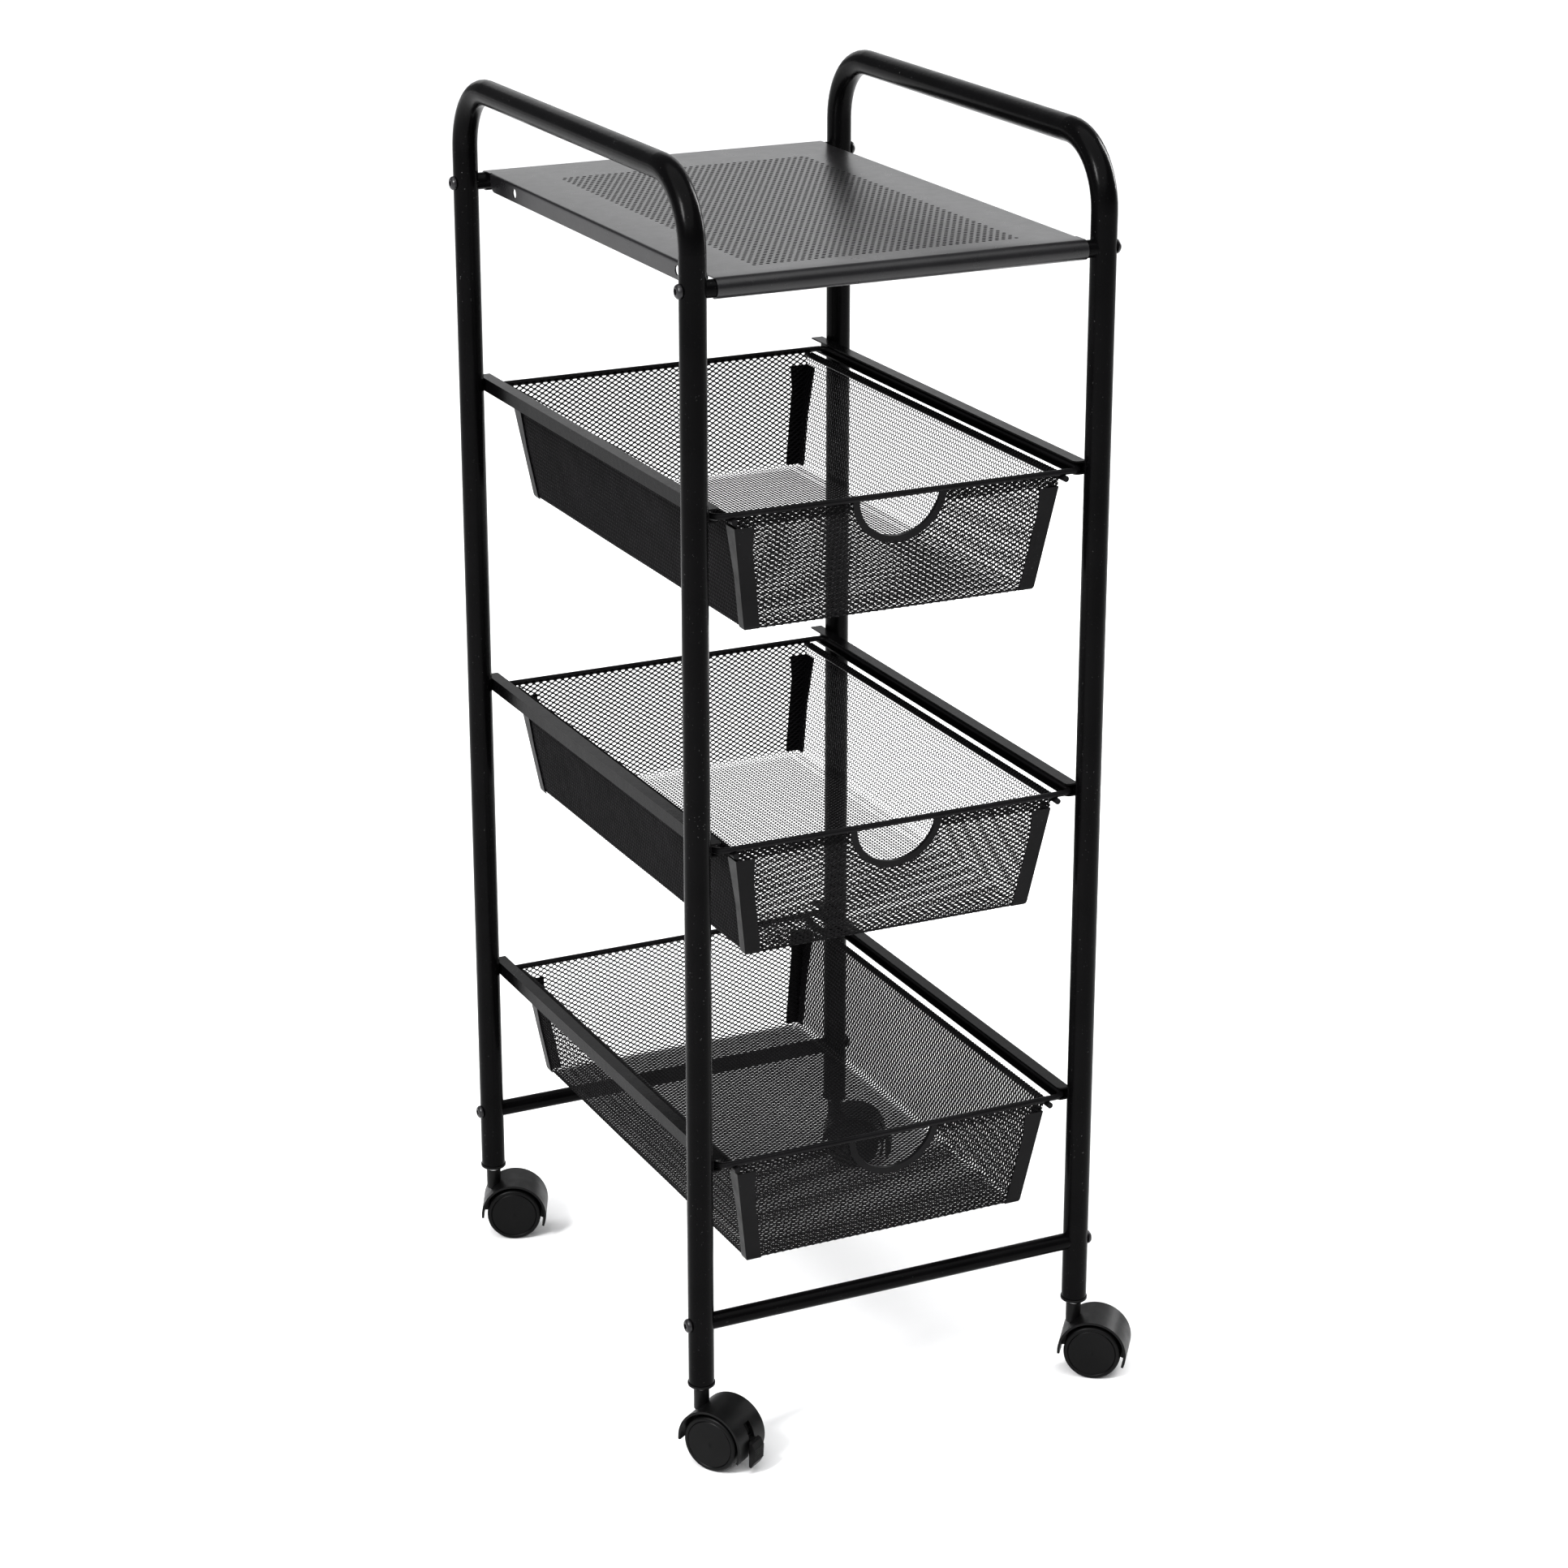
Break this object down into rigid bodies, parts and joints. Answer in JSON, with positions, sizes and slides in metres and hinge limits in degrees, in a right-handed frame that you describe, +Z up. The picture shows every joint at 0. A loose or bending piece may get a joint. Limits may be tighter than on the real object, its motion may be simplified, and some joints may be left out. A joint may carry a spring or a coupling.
{
  "type": "wire shelf cart",
  "caption": "Narrow rolling cart with bent tube sides, a perforated sheet shelf, mesh drawers that slide in channel rails, and swivelling casters.",
  "frame": {"origin": "on the floor, under the centre of the box round the whole cart with its casters trailing as stored", "axes": "+Z up, -Y toward the front, where the drawers come out, +X toward the right when facing the front"},
  "size_m": [0.383, 0.4816, 0.9655],
  "materials": {
    "frame_coat": "satin",
    "shelf_coat": "semi-gloss",
    "bolt_black": "semi-gloss",
    "plug_steel": "satin",
    "socket_plastic": "matte",
    "stem_zinc": "gloss",
    "wire_coat": "satin",
    "mesh_coat": "satin",
    "caster_plastic": "satin",
    "axle_steel": "satin",
    "wheel_plastic": "matte"
  },
  "bodies": {
    "frame": {"left_side_frame": "frame_coat", "right_side_frame": "frame_coat", "top_front_tube": "frame_coat", "top_rear_tube": "frame_coat", "bottom_front_tube": "frame_coat", "bottom_rear_tube": "frame_coat", "shelf_panel": "shelf_coat", "top_left_rail": "frame_coat", "top_right_rail": "frame_coat", "middle_left_rail": "frame_coat", "middle_right_rail": "frame_coat", "bottom_left_rail": "frame_coat", "bottom_right_rail": "frame_coat", "frame_bolts": "bolt_black", "tube_end_plugs": "plug_steel", "caster_sockets": "socket_plastic", "caster_stems": "stem_zinc"},
    "top_drawer": {"top_drawer_wire_frame": "wire_coat", "top_drawer_rim_rods": "wire_coat", "top_drawer_basket": "mesh_coat", "top_drawer_corner_guards": "wire_coat", "top_drawer_handle_trim": "wire_coat"},
    "middle_drawer": {"middle_drawer_wire_frame": "wire_coat", "middle_drawer_rim_rods": "wire_coat", "middle_drawer_basket": "mesh_coat", "middle_drawer_corner_guards": "wire_coat", "middle_drawer_handle_trim": "wire_coat"},
    "bottom_drawer": {"bottom_drawer_wire_frame": "wire_coat", "bottom_drawer_rim_rods": "wire_coat", "bottom_drawer_basket": "mesh_coat", "bottom_drawer_corner_guards": "wire_coat", "bottom_drawer_handle_trim": "wire_coat"},
    "front_left_caster": {"front_left_hood": "caster_plastic", "front_left_axle": "axle_steel", "front_left_brake_pin": "axle_steel"},
    "front_left_outer_wheel": {"front_left_outer_wheel": "wheel_plastic"},
    "front_left_inner_wheel": {"front_left_inner_wheel": "wheel_plastic"},
    "front_left_brake_lever": {"front_left_brake_lever": "caster_plastic"},
    "front_right_caster": {"front_right_hood": "caster_plastic", "front_right_axle": "axle_steel"},
    "front_right_outer_wheel": {"front_right_outer_wheel": "wheel_plastic"},
    "front_right_inner_wheel": {"front_right_inner_wheel": "wheel_plastic"},
    "rear_left_caster": {"rear_left_hood": "caster_plastic", "rear_left_axle": "axle_steel"},
    "rear_left_outer_wheel": {"rear_left_outer_wheel": "wheel_plastic"},
    "rear_left_inner_wheel": {"rear_left_inner_wheel": "wheel_plastic"},
    "rear_right_caster": {"rear_right_hood": "caster_plastic", "rear_right_axle": "axle_steel", "rear_right_brake_pin": "axle_steel"},
    "rear_right_outer_wheel": {"rear_right_outer_wheel": "wheel_plastic"},
    "rear_right_inner_wheel": {"rear_right_inner_wheel": "wheel_plastic"},
    "rear_right_brake_lever": {"rear_right_brake_lever": "caster_plastic"}
  },
  "joints": [
    {"name": "top_drawer_slide", "type": "slide", "parent": "frame", "child": "top_drawer", "axis": [0, -1, 0], "range_m": [0, 0.3]},
    {"name": "middle_drawer_slide", "type": "slide", "parent": "frame", "child": "middle_drawer", "axis": [0, -1, 0], "range_m": [0, 0.3]},
    {"name": "bottom_drawer_slide", "type": "slide", "parent": "frame", "child": "bottom_drawer", "axis": [0, -1, 0], "range_m": [0, 0.3]},
    {"name": "front_left_swivel", "type": "hinge", "parent": "frame", "child": "front_left_caster", "pos_m": [-0.17123, -0.19459, 0.047], "axis": [0, 0, 1], "continuous": true},
    {"name": "front_left_outer_wheel_spin", "type": "hinge", "parent": "front_left_caster", "child": "front_left_outer_wheel", "pos_m": [-0.17002, -0.21427, 0.022], "axis": [0.829, 0.5592, 0], "continuous": true},
    {"name": "front_left_inner_wheel_spin", "type": "hinge", "parent": "front_left_caster", "child": "front_left_inner_wheel", "pos_m": [-0.15344, -0.20309, 0.022], "axis": [0.829, 0.5592, 0], "continuous": true},
    {"name": "front_left_brake", "type": "hinge", "parent": "front_left_caster", "child": "front_left_brake_lever", "pos_m": [-0.15502, -0.21863, 0.0246], "axis": [0.829, 0.5592, 0], "range_deg": [0, 9]},
    {"name": "front_right_swivel", "type": "hinge", "parent": "frame", "child": "front_right_caster", "pos_m": [0.14477, -0.19459, 0.047], "axis": [0, 0, 1], "continuous": true},
    {"name": "front_right_outer_wheel_spin", "type": "hinge", "parent": "front_right_caster", "child": "front_right_outer_wheel", "pos_m": [0.15232, -0.21281, 0.022], "axis": [0.6018, 0.7986, 0], "continuous": true},
    {"name": "front_right_inner_wheel_spin", "type": "hinge", "parent": "front_right_caster", "child": "front_right_inner_wheel", "pos_m": [0.16436, -0.19683, 0.022], "axis": [0.6018, 0.7986, 0], "continuous": true},
    {"name": "rear_left_swivel", "type": "hinge", "parent": "frame", "child": "rear_left_caster", "pos_m": [-0.17123, 0.22041, 0.047], "axis": [0, 0, 1], "continuous": true},
    {"name": "rear_left_outer_wheel_spin", "type": "hinge", "parent": "rear_left_caster", "child": "rear_left_outer_wheel", "pos_m": [-0.16005, 0.20416, 0.022], "axis": [0.4226, 0.9063, 0], "continuous": true},
    {"name": "rear_left_inner_wheel_spin", "type": "hinge", "parent": "rear_left_caster", "child": "rear_left_inner_wheel", "pos_m": [-0.1516, 0.22229, 0.022], "axis": [0.4226, 0.9063, 0], "continuous": true},
    {"name": "rear_right_swivel", "type": "hinge", "parent": "frame", "child": "rear_right_caster", "pos_m": [0.14477, 0.22041, 0.047], "axis": [0, 0, 1], "continuous": true},
    {"name": "rear_right_outer_wheel_spin", "type": "hinge", "parent": "rear_right_caster", "child": "rear_right_outer_wheel", "pos_m": [0.15449, 0.20325, 0.022], "axis": [0.5, 0.866, 0], "continuous": true},
    {"name": "rear_right_inner_wheel_spin", "type": "hinge", "parent": "rear_right_caster", "child": "rear_right_inner_wheel", "pos_m": [0.16449, 0.22057, 0.022], "axis": [0.5, 0.866, 0], "continuous": true},
    {"name": "rear_right_brake", "type": "hinge", "parent": "rear_right_caster", "child": "rear_right_brake_lever", "pos_m": [0.16988, 0.20591, 0.0246], "axis": [0.5, 0.866, 0], "range_deg": [0, 9]}
  ]
}
